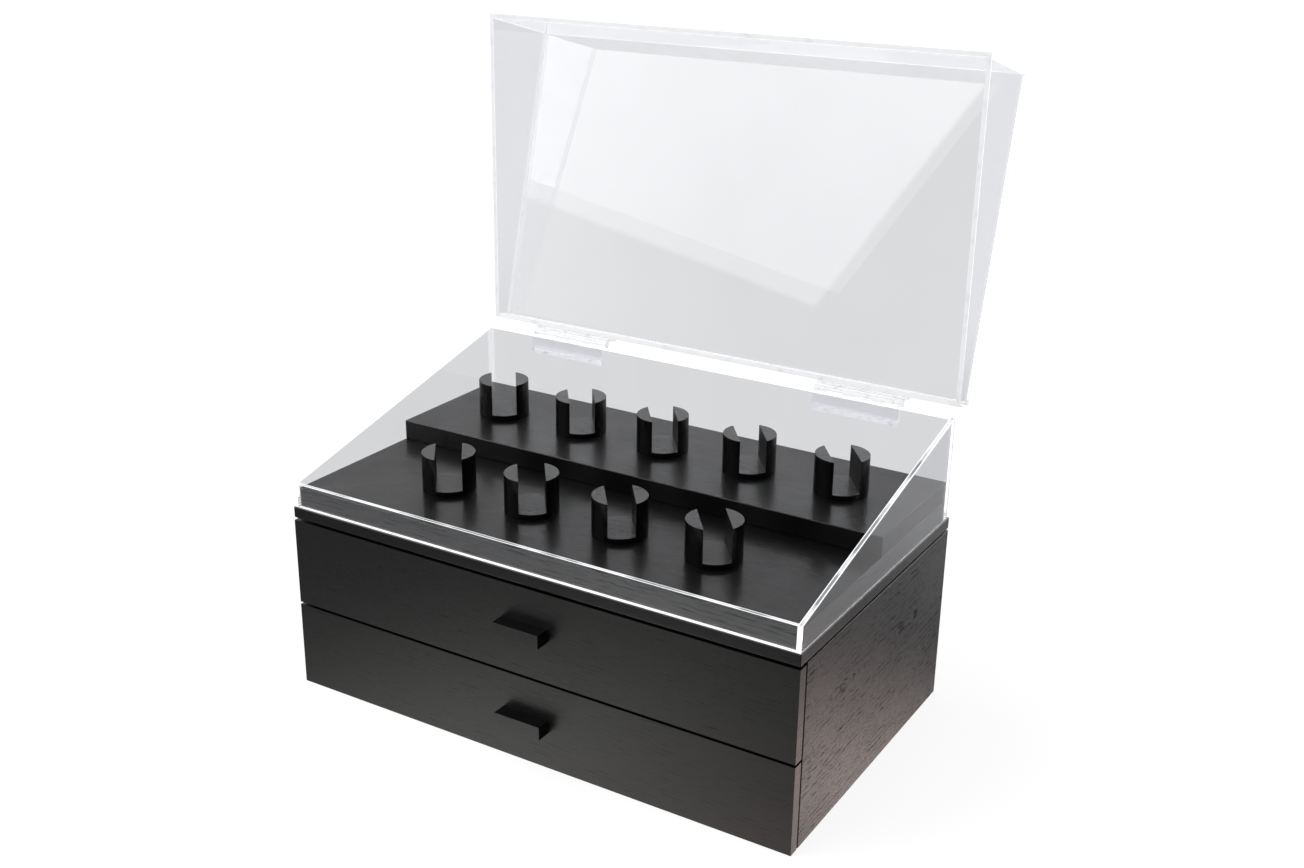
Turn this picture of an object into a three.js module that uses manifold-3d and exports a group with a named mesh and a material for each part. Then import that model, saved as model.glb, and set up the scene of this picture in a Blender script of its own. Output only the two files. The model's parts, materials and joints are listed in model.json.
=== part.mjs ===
// Display case: a low cabinet with two drawers, a stepped black floor with slotted stands,
// a clear surround with a sloping rim, and a clear lid that stands open on two hinges.
// Millimetres, +Z up. The origin is on the ground, in the middle of the cabinet's footprint.
// The front faces -Y.

import * as THREE from 'three';
import { mergeVertices } from 'three/addons/utils/BufferGeometryUtils.js';
import Module from 'manifold-3d';

const wasm = await Module();
wasm.setup();

// Cabinet
const cabinetWidth = 600;
const cabinetDepth = 356;
const topPlateThickness = 12.5;
const topPlateUnderside = 198.5;
const sideShadowGap = 2;
const carcassSideThickness = 15;
const carcassBackThickness = 9;
const carcassBottomThickness = 12;
const carcassTopThickness = 12;

// Drawers
const drawerFrontThickness = 12;
const drawerFrontBackGap = 2.5;
const drawerFrontTopGap = 3;
const drawerFrontMiddleGap = 3;
const drawerFrontGroundGap = 0.5;
const upperFrontExtraHeight = 2.4;
const drawerBoxRise = 14.5;
const drawerTopClearance = 5.7;
const drawerBoxSideGap = 1;
const drawerWallThickness = 12;
const drawerBottomThickness = 5;
const drawerBottomRise = 6;
const drawerBottomHousing = 4;
const runnerHeight = 9.4;
const runnerGrooveDepth = 6.5;
const runnerGrooveShare = 0.43;
const runnerFrontSetback = 3;
const pullWidth = 55;
const pullProjection = 16;
const pullHeight = 14.5;
const lowerPullRise = 0.3;
const upperPullRise = 3.3;
const pullScrewSpacing = 32;
const pullScrewReach = 10;
const screwShankRadius = 1.8;
const screwHeadRadius = 4;
const screwHeadHeight = 2.4;
const screwPointLength = 2.5;

// Display floor and stands
const floorThickness = 22;
const riserThickness = 22;
const riserDepth = 166;
const boardClearance = 0.5;
const standRadius = 28.4;
const standHeight = 41.3;
const standSlotWidth = 28;
const standSlotFloor = 6;
const standTurn = 37;
const standEndMargin = 79.5;
const frontRowSetForward = 2;
const frontRowCount = 4;
const backRowCount = 5;

// Clear surround and lid
const sheetThickness = 5;
const surroundSideInset = 1;
const surroundFrontInset = 1.2;
const surroundBackInset = 5.8;
const surroundFrontHeight = 26.5;
const surroundBackHeight = 114;
const closedLidHeight = 142;
const rimGap = 0.4;
const openAngle = 104.4;

// Clear hinges
const hingeLength = 102;
const hingeEndDistance = 113;
const hingeKnuckleCount = 6;
const hingeLeafHeight = 22.5;
const hingeLeafThickness = 3.7;
const hingeBarrelRadius = 4.2;
const hingePinRadius = 1.6;

// Running and fitting clearance
const gap = 0.3;

// Facets of round pieces
const standFacets = 64;
const barrelFacets = 28;
const screwFacets = 20;

// Places that follow from the sizes
const cabinetFront = -cabinetDepth / 2;
const cabinetBack = cabinetDepth / 2;
const plateTop = topPlateUnderside + topPlateThickness;
const carcassFront = cabinetFront + drawerFrontThickness + drawerFrontBackGap;
const carcassInnerBack = cabinetBack - carcassBackThickness;
const carcassInnerWidth = cabinetWidth - 2 * carcassSideThickness;
const carcassSideHeight = topPlateUnderside - sideShadowGap;
const surroundHalfWidth = cabinetWidth / 2 - surroundSideInset;
const surroundInnerWidth = 2 * (surroundHalfWidth - sheetThickness);
const surroundFront = cabinetFront + surroundFrontInset;
const surroundBack = cabinetBack - surroundBackInset;
const boardWidth = surroundInnerWidth - 2 * boardClearance;
const boardFront = surroundFront + sheetThickness + boardClearance;
const boardBack = surroundBack - sheetThickness - boardClearance;
const floorTop = plateTop + floorThickness;
const riserFront = boardBack - riserDepth;
const riserTop = floorTop + riserThickness;
const standPitch = (boardWidth - 2 * standEndMargin) / (backRowCount - 1);
const hingeOffset = gap + hingeLeafThickness + gap + hingeBarrelRadius;
const hingeCentreDistance = surroundHalfWidth - hingeEndDistance;
const pinY = surroundBack + hingeOffset;
const pinZ = plateTop + surroundBackHeight + rimGap / 2;

// Finishes
const blackWood = { color: 0x1e1d1c, roughness: 0.55, metalness: 0 };
const blackPaint = { color: 0x191919, roughness: 0.7, metalness: 0 };
const clearSheet = { color: 0xf2f6f7, roughness: 0.05, metalness: 0, transparent: true, opacity: 0.3 };
const zincSteel = { color: 0x9a9da0, roughness: 0.35, metalness: 1 };

const displayCase = new THREE.Group();

// A named piece with its own material, put in a group at a place.
function addPiece(parent, name, geometry, finish, x = 0, y = 0, z = 0) {
  const mesh = new THREE.Mesh(geometry, new THREE.MeshStandardMaterial(finish));
  mesh.name = name;
  mesh.position.set(x, y, z);
  parent.add(mesh);
  return mesh;
}

// A block between two corners.
function block(low, high) {
  const geometry = new THREE.BoxGeometry(high[0] - low[0], high[1] - low[1], high[2] - low[2]);
  geometry.translate((low[0] + high[0]) / 2, (low[1] + high[1]) / 2, (low[2] + high[2]) / 2);
  return geometry;
}

// An outline in Y and Z, run along X from one place to another.
function prismAlongX(outline, fromX, toX) {
  const shape = new THREE.Shape(outline.map(([y, z]) => new THREE.Vector2(y, z)));
  const geometry = new THREE.ExtrudeGeometry(shape, { depth: toX - fromX, bevelEnabled: false });
  const turn = new THREE.Matrix4().makeBasis(
    new THREE.Vector3(0, 1, 0),
    new THREE.Vector3(0, 0, 1),
    new THREE.Vector3(1, 0, 0),
  );
  geometry.applyMatrix4(turn);
  geometry.translate(fromX, 0, 0);
  return geometry;
}

// An outline in X and Z, run along Y from one place to another.
function prismAlongY(outline, fromY, toY) {
  const shape = new THREE.Shape(outline.map(([x, z]) => new THREE.Vector2(x, z)));
  const geometry = new THREE.ExtrudeGeometry(shape, { depth: toY - fromY, bevelEnabled: false });
  geometry.rotateX(Math.PI / 2);
  geometry.translate(0, toY, 0);
  return geometry;
}

// A cylinder along X or along Y.
function rodAlongX(radius, length, facets) {
  return new THREE.CylinderGeometry(radius, radius, length, facets).rotateZ(Math.PI / 2);
}

function rodAlongY(radius, length, facets) {
  return new THREE.CylinderGeometry(radius, radius, length, facets);
}

// A closed mesh as a solid that can be joined and cut.
function toSolid(geometry) {
  const bare = geometry.clone();
  bare.deleteAttribute('normal');
  bare.deleteAttribute('uv');
  const merged = mergeVertices(bare, 1e-4);
  const vertProperties = new Float32Array(merged.attributes.position.array);
  const triVerts = new Uint32Array(merged.index.array);
  return new wasm.Manifold(new wasm.Mesh({ numProp: 3, vertProperties, triVerts }));
}

function toGeometry(solid) {
  const mesh = solid.getMesh();
  const geometry = new THREE.BufferGeometry();
  geometry.setAttribute('position', new THREE.BufferAttribute(new Float32Array(mesh.vertProperties), 3));
  geometry.setIndex(new THREE.BufferAttribute(new Uint32Array(mesh.triVerts), 1));
  geometry.computeVertexNormals();
  return geometry;
}

// The cabinet: bottom, sides, back, an inner top board and the top plate that it carries.
function buildCabinet() {
  const half = cabinetWidth / 2;
  const innerHalf = carcassInnerWidth / 2;
  const innerTopUnderside = topPlateUnderside - carcassTopThickness;
  const pieces = {
    carcass_left_side: [[-half, carcassFront, 0], [-innerHalf, cabinetBack, carcassSideHeight]],
    carcass_right_side: [[innerHalf, carcassFront, 0], [half, cabinetBack, carcassSideHeight]],
    carcass_bottom: [[-innerHalf, carcassFront, 0], [innerHalf, carcassInnerBack, carcassBottomThickness]],
    carcass_back: [[-innerHalf, carcassInnerBack, 0], [innerHalf, cabinetBack, innerTopUnderside]],
    carcass_top: [
      [-innerHalf, carcassFront, innerTopUnderside],
      [innerHalf, cabinetBack, topPlateUnderside],
    ],
    top_plate: [[-half, cabinetFront, topPlateUnderside], [half, cabinetBack, plateTop]],
  };
  for (const [name, [low, high]] of Object.entries(pieces)) {
    addPiece(displayCase, name, block(low, high), blackWood);
  }
}

// The heights of the two drawer fronts, and the sizes that the two drawer boxes share.
const frontsTop = topPlateUnderside - drawerFrontTopGap;
const frontsHeight = frontsTop - drawerFrontMiddleGap - drawerFrontGroundGap;
const lowerFrontHeight = (frontsHeight - upperFrontExtraHeight) / 2;
const upperFrontHeight = lowerFrontHeight + upperFrontExtraHeight;
const upperFrontBase = frontsTop - upperFrontHeight;
const upperBoxTop = topPlateUnderside - carcassTopThickness - drawerTopClearance;
const drawerBoxHeight = upperBoxTop - drawerBoxRise - upperFrontBase;
const runnerGrooveRise = drawerBoxHeight * runnerGrooveShare;
const drawerBoxHalfWidth = carcassInnerWidth / 2 - drawerBoxSideGap;
const drawerInnerHalfWidth = drawerBoxHalfWidth - drawerWallThickness;
const drawerBoxFrontY = cabinetFront + drawerFrontThickness;
const drawerBoxBackY = carcassInnerBack - gap;
const grooveHalfHeight = runnerHeight / 2 + gap;

// One side of a drawer box, as a section in X and Z. Its outer groove takes the runner and its
// inner groove takes the drawer bottom. The sign is -1 on the left and 1 on the right.
function drawerSideSection(sign, boxBase) {
  const outer = drawerBoxHalfWidth;
  const inner = drawerInnerHalfWidth;
  const groove = boxBase + runnerGrooveRise;
  const housingLow = boxBase + drawerBottomRise - gap;
  const housingHigh = boxBase + drawerBottomRise + drawerBottomThickness + gap;
  const housingDepth = drawerBottomHousing + gap;
  const section = [
    [outer, boxBase],
    [outer, groove - grooveHalfHeight],
    [outer - runnerGrooveDepth, groove - grooveHalfHeight],
    [outer - runnerGrooveDepth, groove + grooveHalfHeight],
    [outer, groove + grooveHalfHeight],
    [outer, boxBase + drawerBoxHeight],
    [inner, boxBase + drawerBoxHeight],
    [inner, housingHigh],
    [inner + housingDepth, housingHigh],
    [inner + housingDepth, housingLow],
    [inner, housingLow],
    [inner, boxBase],
  ];
  return section.map(([x, z]) => [sign * x, z]);
}

// The inner front of a drawer box, as a section in Y and Z with the housing for the bottom.
function drawerBoxFrontSection(boxBase) {
  const innerY = drawerBoxFrontY + drawerWallThickness;
  const housingLow = boxBase + drawerBottomRise - gap;
  const housingHigh = boxBase + drawerBottomRise + drawerBottomThickness + gap;
  const housingY = innerY - drawerBottomHousing - gap;
  return [
    [drawerBoxFrontY, boxBase],
    [innerY, boxBase],
    [innerY, housingLow],
    [housingY, housingLow],
    [housingY, housingHigh],
    [innerY, housingHigh],
    [innerY, boxBase + drawerBoxHeight],
    [drawerBoxFrontY, boxBase + drawerBoxHeight],
  ];
}

// A round-headed screw along Y, with its head on the +Y side and the head's underside at y = 0.
function screwGeometry(length) {
  const profile = [
    [0, -length],
    [screwShankRadius, -length + screwPointLength],
    [screwShankRadius, 0],
    [screwHeadRadius, 0],
    [screwHeadRadius, screwHeadHeight / 2],
    [screwHeadRadius * 0.7, screwHeadHeight],
    [0, screwHeadHeight],
  ];
  return new THREE.LatheGeometry(profile.map(([r, y]) => new THREE.Vector2(r, y)), screwFacets);
}

// One drawer with its runners: a grooved box, an overlay front, a block pull and two screws.
function buildDrawer(name, frontBase, frontHeight, pullRise) {
  const half = cabinetWidth / 2;
  const boxBase = frontBase + drawerBoxRise;
  const boxTop = boxBase + drawerBoxHeight;
  const boxInnerY = drawerBoxFrontY + drawerWallThickness;
  const pullZ = frontBase + frontHeight / 2 + pullRise;
  const screwXs = [-pullScrewSpacing / 2, pullScrewSpacing / 2];
  const screwLength = drawerWallThickness + drawerFrontThickness + pullScrewReach;
  const boreLength = screwLength + 2 * gap;

  // Screw holes are cut through the two fronts and a little way into the pull.
  const bores = screwXs.map((x) => {
    const bore = rodAlongY(screwShankRadius + gap, boreLength, screwFacets);
    bore.translate(x, boxInnerY + gap - boreLength / 2, pullZ);
    return toSolid(bore);
  });
  const drilled = (geometry) => {
    let solid = toSolid(geometry);
    for (const bore of bores) {
      solid = solid.subtract(bore);
    }
    return toGeometry(solid);
  };

  const front = block([-half, cabinetFront, frontBase], [half, drawerBoxFrontY, frontBase + frontHeight]);
  addPiece(displayCase, `${name}_drawer_front`, drilled(front), blackWood);

  const boxFront = prismAlongX(drawerBoxFrontSection(boxBase), -drawerInnerHalfWidth, drawerInnerHalfWidth);
  addPiece(displayCase, `${name}_drawer_box_front`, drilled(boxFront), blackPaint);

  for (const [side, sign] of [['left', -1], ['right', 1]]) {
    const section = drawerSideSection(sign, boxBase);
    const geometry = prismAlongY(section, drawerBoxFrontY, drawerBoxBackY);
    addPiece(displayCase, `${name}_drawer_${side}_side`, geometry, blackPaint);
  }

  const bottomHalf = drawerInnerHalfWidth + drawerBottomHousing;
  const bottomBase = boxBase + drawerBottomRise;
  const bottom = block(
    [-bottomHalf, boxInnerY - drawerBottomHousing, bottomBase],
    [bottomHalf, drawerBoxBackY, bottomBase + drawerBottomThickness],
  );
  addPiece(displayCase, `${name}_drawer_bottom`, bottom, blackPaint);

  const back = block(
    [-drawerInnerHalfWidth, drawerBoxBackY - drawerWallThickness, bottomBase + drawerBottomThickness],
    [drawerInnerHalfWidth, drawerBoxBackY, boxTop],
  );
  addPiece(displayCase, `${name}_drawer_back`, back, blackPaint);

  const pull = block(
    [-pullWidth / 2, cabinetFront - pullProjection, pullZ - pullHeight / 2],
    [pullWidth / 2, cabinetFront, pullZ + pullHeight / 2],
  );
  addPiece(displayCase, `${name}_drawer_pull`, drilled(pull), blackWood);

  screwXs.forEach((x, index) => {
    const side = index === 0 ? 'left' : 'right';
    const screw = screwGeometry(screwLength);
    addPiece(displayCase, `${name}_pull_screw_${side}`, screw, zincSteel, x, boxInnerY, pullZ);
  });

  // The runners are fixed to the carcass sides and lie in the grooves of the drawer sides.
  const runnerZ = boxBase + runnerGrooveRise;
  const runnerOuter = carcassInnerWidth / 2;
  const runnerInner = drawerBoxHalfWidth - runnerGrooveDepth + gap;
  for (const [side, sign] of [['left', -1], ['right', 1]]) {
    const xs = [sign * runnerOuter, sign * runnerInner].sort((a, b) => a - b);
    const runner = block(
      [xs[0], carcassFront + runnerFrontSetback, runnerZ - runnerHeight / 2],
      [xs[1], carcassInnerBack, runnerZ + runnerHeight / 2],
    );
    addPiece(displayCase, `${name}_runner_${side}`, runner, blackPaint);
  }
}

// The display floor, the riser on its back half and the two rows of slotted stands.
function standGeometry() {
  const post = new THREE.CylinderGeometry(standRadius, standRadius, standHeight, standFacets);
  post.rotateX(Math.PI / 2);
  post.translate(0, 0, standHeight / 2);
  const slot = block(
    [-standSlotWidth / 2, -2 * standRadius, standSlotFloor],
    [standSlotWidth / 2, 2 * standRadius, 2 * standHeight],
  );
  return toGeometry(toSolid(post).subtract(toSolid(slot)));
}

function buildStandRow(row, count, centreY, baseZ) {
  for (let index = 0; index < count; index += 1) {
    const x = (index - (count - 1) / 2) * standPitch;
    const name = `stand_${row}_${index + 1}`;
    const stand = addPiece(displayCase, name, standGeometry(), blackWood, x, centreY, baseZ);
    stand.rotation.z = THREE.MathUtils.degToRad(standTurn);
  }
}

function buildDisplay() {
  const half = boardWidth / 2;
  const floor = block([-half, boardFront, plateTop], [half, boardBack, floorTop]);
  addPiece(displayCase, 'display_floor', floor, blackWood);
  const riser = block([-half, riserFront, floorTop], [half, boardBack, riserTop]);
  addPiece(displayCase, 'display_riser', riser, blackWood);
  const frontRowY = (boardFront + riserFront) / 2 - frontRowSetForward;
  buildStandRow('front', frontRowCount, frontRowY, floorTop);
  buildStandRow('back', backRowCount, (riserFront + boardBack) / 2, riserTop);
}

// The four clear walls on the top plate. The side walls slope down to the front.
function buildSurround() {
  const half = surroundHalfWidth;
  const innerHalf = half - sheetThickness;
  const frontTop = plateTop + surroundFrontHeight;
  const backTop = plateTop + surroundBackHeight;
  const sideOutline = [
    [surroundFront, plateTop],
    [surroundBack, plateTop],
    [surroundBack, backTop],
    [surroundFront, frontTop],
  ];
  addPiece(displayCase, 'surround_left_wall', prismAlongX(sideOutline, -half, -innerHalf), clearSheet);
  addPiece(displayCase, 'surround_right_wall', prismAlongX(sideOutline, innerHalf, half), clearSheet);
  const front = block(
    [-innerHalf, surroundFront, plateTop],
    [innerHalf, surroundFront + sheetThickness, frontTop],
  );
  addPiece(displayCase, 'surround_front_wall', front, clearSheet);
  const back = block(
    [-innerHalf, surroundBack - sheetThickness, plateTop],
    [innerHalf, surroundBack, backTop],
  );
  addPiece(displayCase, 'surround_back_wall', back, clearSheet);
}

// A hinge leaf in the lid's closed pose, with the pin's axis along X through the origin.
// The sign is -1 for the leaf below the pin and 1 for the leaf above it.
function leafGeometry(sign) {
  const face = -hingeOffset + gap;
  const low = -hingeLength / 2;
  const high = hingeLength / 2;
  const span = (from, to) => [Math.min(sign * from, sign * to), Math.max(sign * from, sign * to)];
  const [plateLow, plateHigh] = span(rimGap / 2, hingeLeafHeight);
  const [webLow, webHigh] = span(rimGap / 2, hingeBarrelRadius);
  let leaf = toSolid(block([low, face, plateLow], [high, face + hingeLeafThickness, plateHigh]));
  const pitch = hingeLength / hingeKnuckleCount;
  const firstKnuckle = sign < 0 ? 0 : 1;
  for (let index = firstKnuckle; index < hingeKnuckleCount; index += 2) {
    const from = low + index * pitch + gap / 2;
    const to = low + (index + 1) * pitch - gap / 2;
    const barrel = rodAlongX(hingeBarrelRadius, to - from, barrelFacets).translate((from + to) / 2, 0, 0);
    const web = block([from, face + hingeLeafThickness / 2, webLow], [to, 0, webHigh]);
    leaf = leaf.add(toSolid(barrel)).add(toSolid(web));
  }
  const bore = rodAlongX(hingePinRadius + gap, 2 * hingeLength, barrelFacets);
  return toGeometry(leaf.subtract(toSolid(bore)));
}

// The lid is drawn closed, round the pin's axis, and its group is turned to the open rest pose.
function buildLid() {
  const lid = new THREE.Group();
  lid.position.set(0, pinY, pinZ);
  lid.rotation.x = -THREE.MathUtils.degToRad(openAngle);
  displayCase.add(lid);

  const half = surroundHalfWidth;
  const innerHalf = half - sheetThickness;
  const front = surroundFront - pinY;
  const back = surroundBack - pinY;
  const panelTop = plateTop + closedLidHeight - pinZ;
  const wallTop = panelTop - sheetThickness - gap;
  const frontRim = plateTop + surroundFrontHeight + rimGap - pinZ;
  const backRim = plateTop + surroundBackHeight + rimGap - pinZ;

  const panel = block([-half, front, panelTop - sheetThickness], [half, back, panelTop]);
  addPiece(lid, 'lid_top_panel', panel, clearSheet);
  const sideOutline = [
    [front, frontRim],
    [back, backRim],
    [back, wallTop],
    [front, wallTop],
  ];
  addPiece(lid, 'lid_left_wall', prismAlongX(sideOutline, -half, -innerHalf), clearSheet);
  addPiece(lid, 'lid_right_wall', prismAlongX(sideOutline, innerHalf, half), clearSheet);
  const wallHalf = innerHalf - gap;
  const frontWall = block([-wallHalf, front, frontRim], [wallHalf, front + sheetThickness, wallTop]);
  addPiece(lid, 'lid_front_wall', frontWall, clearSheet);
  const backWall = block([-wallHalf, back - sheetThickness, backRim], [wallHalf, back, wallTop]);
  addPiece(lid, 'lid_back_wall', backWall, clearSheet);

  for (const [side, sign] of [['left', -1], ['right', 1]]) {
    const x = sign * hingeCentreDistance;
    addPiece(lid, `hinge_${side}_upper_leaf`, leafGeometry(1), clearSheet, x, 0, 0);
    addPiece(displayCase, `hinge_${side}_lower_leaf`, leafGeometry(-1), clearSheet, x, pinY, pinZ);
    const pin = rodAlongX(hingePinRadius, hingeLength, barrelFacets);
    addPiece(displayCase, `hinge_${side}_pin`, pin, clearSheet, x, pinY, pinZ);
  }
}

buildCabinet();
buildDrawer('lower', drawerFrontGroundGap, lowerFrontHeight, lowerPullRise);
buildDrawer('upper', upperFrontBase, upperFrontHeight, upperPullRise);
buildDisplay();
buildSurround();
buildLid();

export default displayCase;
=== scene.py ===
"""Display case with two drawers and a hinged clear lid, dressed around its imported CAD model.

Lengths are in metres, in the CAD model's own frame: X runs along the front, Y goes back, Z up.
"""

from __future__ import annotations

import json
import logging
import math
from dataclasses import asdict, dataclass, field
from enum import Enum
from typing import Any, Iterable, Mapping, Sequence

import bmesh
import bpy
from mathutils import Matrix, Vector


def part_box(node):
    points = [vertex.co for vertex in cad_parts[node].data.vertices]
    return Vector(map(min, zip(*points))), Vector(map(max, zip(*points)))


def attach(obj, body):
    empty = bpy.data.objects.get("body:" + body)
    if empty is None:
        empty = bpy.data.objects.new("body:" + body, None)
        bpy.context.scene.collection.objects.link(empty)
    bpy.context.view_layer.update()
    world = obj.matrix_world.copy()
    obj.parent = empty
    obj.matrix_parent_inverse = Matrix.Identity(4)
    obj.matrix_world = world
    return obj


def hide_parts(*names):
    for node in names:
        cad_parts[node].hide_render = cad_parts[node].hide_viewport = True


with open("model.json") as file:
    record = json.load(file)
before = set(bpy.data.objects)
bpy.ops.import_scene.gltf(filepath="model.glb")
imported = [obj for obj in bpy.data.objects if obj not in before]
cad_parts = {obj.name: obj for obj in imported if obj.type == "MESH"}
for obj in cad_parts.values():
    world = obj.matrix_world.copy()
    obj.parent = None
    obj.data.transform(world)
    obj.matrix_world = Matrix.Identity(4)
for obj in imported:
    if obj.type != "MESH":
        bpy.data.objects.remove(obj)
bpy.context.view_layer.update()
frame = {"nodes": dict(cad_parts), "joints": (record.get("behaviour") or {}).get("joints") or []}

LOG = logging.getLogger("display_case")

Colour = tuple[float, float, float]
Triple = tuple[float, float, float]
Span = tuple[float, float]
Inputs = Mapping[Any, Any]
Material = bpy.types.Material
Mesh = bpy.types.Mesh
Piece = bpy.types.Object
Socket = bpy.types.NodeSocket

SQUARE_ON = 0.9  # the least cosine of a face that counts as square to an axis
SMOOTH_ANGLE = math.radians(35)
ARRIS_ANGLE = math.radians(40)
FLAT_ANGLE = math.radians(0.5)
MERGE_DISTANCE = 1e-6
SHEET_IOR = 1.49
OPEN_ANGLE = math.radians(-104.4)
ORIGIN: Triple = (0.0, 0.0, 0.0)
WHITE: Colour = (1.0, 1.0, 1.0)
SOCKET_TYPES = {
    float: "NodeSocketFloat",
    int: "NodeSocketInt",
    tuple: "NodeSocketVector",
    Material: "NodeSocketMaterial",
}


class Grain(Enum):
    """How a board lies: the turn that lays its length along X and its face across Z."""

    FLAT = (0.0, 0.0, 0.0)
    UPRIGHT = (-math.pi / 2, 0.0, 0.0)
    SIDE = (-math.pi / 2, -math.pi / 2, 0.0)
    POST = (0.0, math.pi / 2, 0.0)


class Body(Enum):
    """The bodies of the CAD model."""

    CABINET = "cabinet"
    LID = "lid"
    UPPER_DRAWER = "upper_drawer"
    LOWER_DRAWER = "lower_drawer"


class Slot(Enum):
    """The record's material slots."""

    BLACK_WOOD = "black_wood"
    BLACK_PAINT = "black_paint"
    CLEAR_SHEET = "clear_sheet"
    ZINC_STEEL = "zinc_steel"


class Term:
    """An output socket that formulas are written with. Tests give 0 or 1."""

    def __init__(self, bench: Bench, socket: Socket) -> None:
        """Keeps the socket and the bench that its sums go to."""
        self.bench, self.socket = bench, socket

    def __add__(self, other: Any) -> Term:
        """Adds."""
        return self.bench.math("ADD", self, other)

    def __sub__(self, other: Any) -> Term:
        """Subtracts."""
        return self.bench.math("SUBTRACT", self, other)

    def __rsub__(self, other: float) -> Term:
        """Subtracts from a number."""
        return self.bench.math("SUBTRACT", other, self)

    def __mul__(self, other: Any) -> Term:
        """Multiplies."""
        return self.bench.math("MULTIPLY", self, other)

    def __truediv__(self, other: Any) -> Term:
        """Divides."""
        return self.bench.math("DIVIDE", self, other)

    def __rtruediv__(self, other: float) -> Term:
        """Divides a number."""
        return self.bench.math("DIVIDE", other, self)

    def __abs__(self) -> Term:
        """Drops the sign."""
        return self.bench.math("ABSOLUTE", self)

    def __gt__(self, other: Any) -> Term:
        """Tests for more."""
        return self.bench.math("GREATER_THAN", self, other)

    def __lt__(self, other: Any) -> Term:
        """Tests for less."""
        return self.bench.math("LESS_THAN", self, other)


class Bench:
    """Adds nodes to one node tree and joins them."""

    def __init__(self, tree: bpy.types.NodeTree) -> None:
        """Keeps the tree that the nodes go into."""
        self.tree = tree

    def put(self, kind: str, inputs: Inputs | None = None, **settings: Any) -> bpy.types.Node:
        """Adds a node.

        Args:
            kind: Blender's name for the node's type.
            inputs: Terms or plain values, by the input's name or number.
            settings: The node's own settings.

        Returns:
            The new node.
        """
        node = self.tree.nodes.new(kind)
        for name, value in settings.items():
            setattr(node, name, value)
        for key, value in (inputs or {}).items():
            self.feed(node.inputs[key], value)
        return node

    def feed(self, inlet: Socket, value: Any) -> None:
        """Links a term to an input, or sets the input's own value.

        Args:
            inlet: The input.
            value: A term, a list of terms or a plain value. None leaves the input as it is.
        """
        if isinstance(value, list):
            for item in value:
                self.feed(inlet, item)
        elif isinstance(value, Term):
            self.tree.links.new(value.socket, inlet)
        elif value is not None:
            inlet.default_value = (*value, 1.0) if inlet.type == "RGBA" else value

    def outputs(self, node: bpy.types.Node) -> dict[str, Term]:
        """Gives a node's outputs by name."""
        return {outlet.name: Term(self, outlet) for outlet in node.outputs}

    def one(
        self, kind: str, inputs: Inputs | None = None, output: Any = 0, **settings: Any
    ) -> Term:
        """Adds a node as put does, and gives one of its outputs."""
        return Term(self, self.put(kind, inputs, **settings).outputs[output])

    def math(self, operation: str, *values: Any, clamp: bool = False) -> Term:
        """Adds a Math node, clamped between 0 and 1 if that is asked for."""
        inputs = dict(enumerate(values))
        return self.one("ShaderNodeMath", inputs, operation=operation, use_clamp=clamp)

    def span(self, *values: Any) -> Term:
        """Maps a value smoothly from one range, low to high, onto another."""
        inputs = dict(enumerate(values))
        return self.one("ShaderNodeMapRange", inputs, interpolation_type="SMOOTHSTEP")

    def blend(self, factor: Any, first: Any, second: Any) -> Term:
        """Mixes two colours by the share of the second."""
        return self.one("ShaderNodeMix", {0: factor, 6: first, 7: second}, 2, data_type="RGBA")

    def choose(self, factor: Any, first: Any, second: Any) -> Term:
        """Mixes two numbers by the share of the second."""
        return self.one("ShaderNodeMix", {0: factor, 2: first, 3: second}, data_type="FLOAT")

    def mix_shader(self, factor: Any, first: Term, second: Term) -> Term:
        """Mixes two shaders by the share of the second."""
        return self.one("ShaderNodeMixShader", {0: factor, 1: first, 2: second})

    def vector_math(self, operation: str, *values: Any, output: Any = 0) -> Term:
        """Adds a Vector Math node."""
        inputs = dict(enumerate(values))
        return self.one("ShaderNodeVectorMath", inputs, output, operation=operation)

    def point(self, x: Any = 0.0, y: Any = 0.0, z: Any = 0.0) -> Term:
        """Adds a vector."""
        return self.one("ShaderNodeCombineXYZ", {0: x, 1: y, 2: z})

    def apart(self, vector: Any) -> list[Term]:
        """Takes a vector apart into X, Y and Z."""
        return list(self.outputs(self.put("ShaderNodeSeparateXYZ", {0: vector})).values())

    def noise(self, place: Any, scale: Any, detail: float, roughness: float | None = None) -> Term:
        """Adds noise."""
        values = {"Vector": place, "Scale": scale, "Detail": detail, "Roughness": roughness}
        return self.one("ShaderNodeTexNoise", values)


class GroupBench(Bench):
    """A bench on a new node group, with the group's inputs by name."""

    def __init__(self, name: str, kind: str, inputs: Mapping[str, Any], *outputs: str) -> None:
        """Makes the group. It puts out geometry, or numbers if it is a shader group.

        Args:
            name: The group's name.
            kind: The type of tree.
            inputs: Each input's name, with a plain value that sets its type.
            outputs: The outputs' names.
        """
        super().__init__(bpy.data.node_groups.new(name, kind))
        sockets = self.tree.interface
        for label, value in inputs.items():
            socket_type = SOCKET_TYPES[type(value)]
            socket = sockets.new_socket(label, in_out="INPUT", socket_type=socket_type)
            socket.default_value = value
        made = "NodeSocketFloat" if kind == "ShaderNodeTree" else "NodeSocketGeometry"
        for label in outputs:
            sockets.new_socket(label, in_out="OUTPUT", socket_type=made)
        self.given = self.outputs(self.put("NodeGroupInput"))


@dataclass(frozen=True)
class Figure:
    """The figure of one kind of board: where its heart lies, and its rings and pores."""

    heart_across: float = 0.0
    heart_depth: float = 0.05
    face_depth: float = 0.0
    arch: float = 0.06
    warp: float = 0.012
    ring_width: float = 0.005
    pore_length: float = 0.022
    pore_width: float = 0.0009

    def inputs(self) -> dict[str, float]:
        """Gives the sizes under their sockets' names."""
        return {name.replace("_", " ").title(): size for name, size in asdict(self).items()}


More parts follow.
